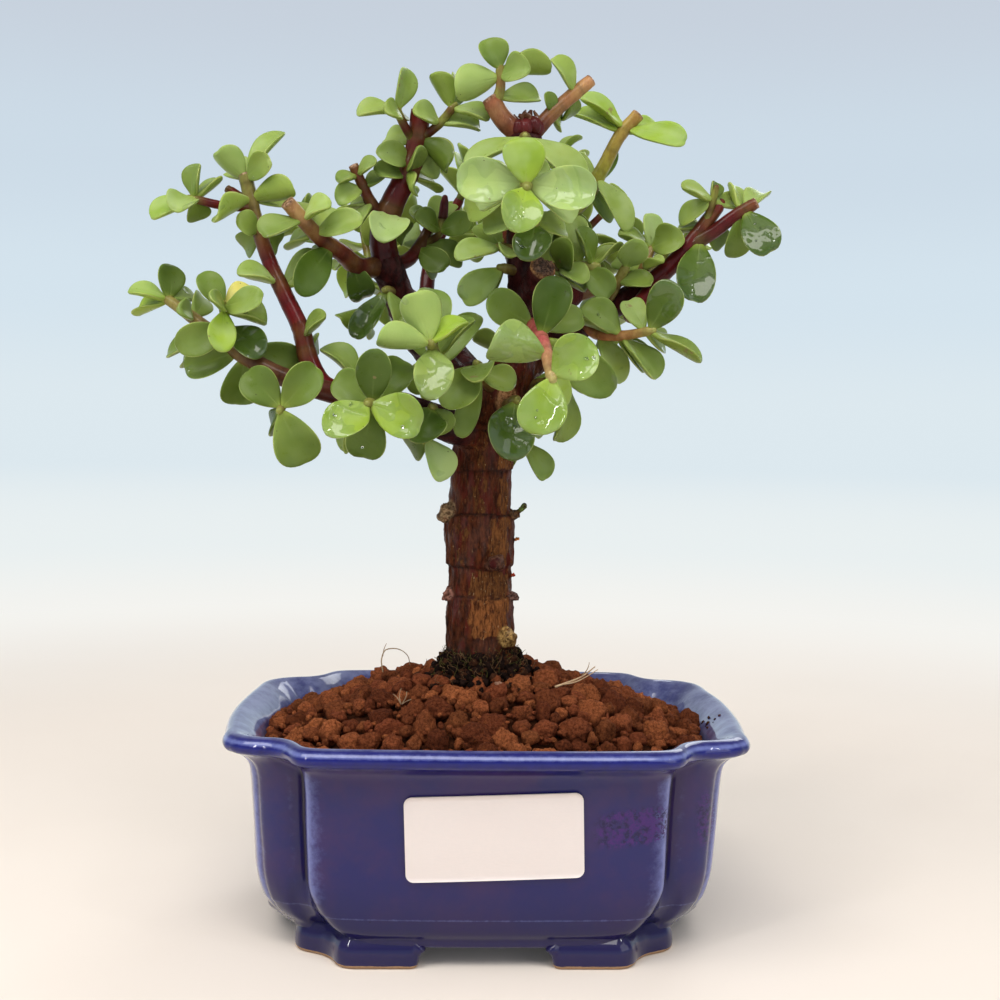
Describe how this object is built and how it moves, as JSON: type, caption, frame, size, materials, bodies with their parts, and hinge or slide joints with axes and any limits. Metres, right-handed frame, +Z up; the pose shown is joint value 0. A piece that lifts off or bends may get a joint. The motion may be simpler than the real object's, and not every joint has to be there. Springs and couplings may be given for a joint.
{
  "type": "potted dwarf jade bonsai",
  "caption": "Small bonsai of dwarf jade with a bare brown trunk and fleshy oval leaves, in a blue glazed footed pot of clay grit with a blank label.",
  "frame": {"origin": "on the ground the pot stands on, under the middle of the whole part's outer box", "axes": "+Z up along the trunk, -Y towards the labelled front of the pot, +X to the right of that front"},
  "size_m": [0.1738, 0.1202, 0.237],
  "materials": {
    "glaze": "glossy",
    "mesh": "matte",
    "soil": "matte",
    "label": "satin",
    "bark": "matte",
    "leaf": "satin"
  },
  "bodies": {
    "root": {"pot": "glaze", "drain_mesh_left": "mesh", "drain_mesh_right": "mesh", "soil": "soil", "label": "label", "trunk": "bark", "far_left": "leaf", "low_left_rise": "leaf", "high_left_low": "leaf", "high_left_rise": "leaf", "high_left_thin": "leaf", "high_left_hang": "leaf", "front_left_up": "leaf", "front_left_low": "leaf", "under_left": "leaf", "front_mid": "leaf", "front_trunk": "leaf", "under_right": "leaf", "pink_shoot": "leaf", "top_left": "leaf", "top_right": "leaf", "top_pair": "leaf", "front_high": "leaf", "front_high_low": "leaf", "olive_shoot": "leaf", "left_of_leader": "leaf", "right_of_stub": "leaf", "right_inner": "leaf", "right_mid": "leaf", "right_tip": "leaf", "right_low": "leaf", "back_left_low": "leaf", "back_left_high": "leaf", "back_right_high": "leaf", "back_right_low": "leaf", "back_low": "leaf", "back_mid": "leaf"}
  },
  "joints": []
}
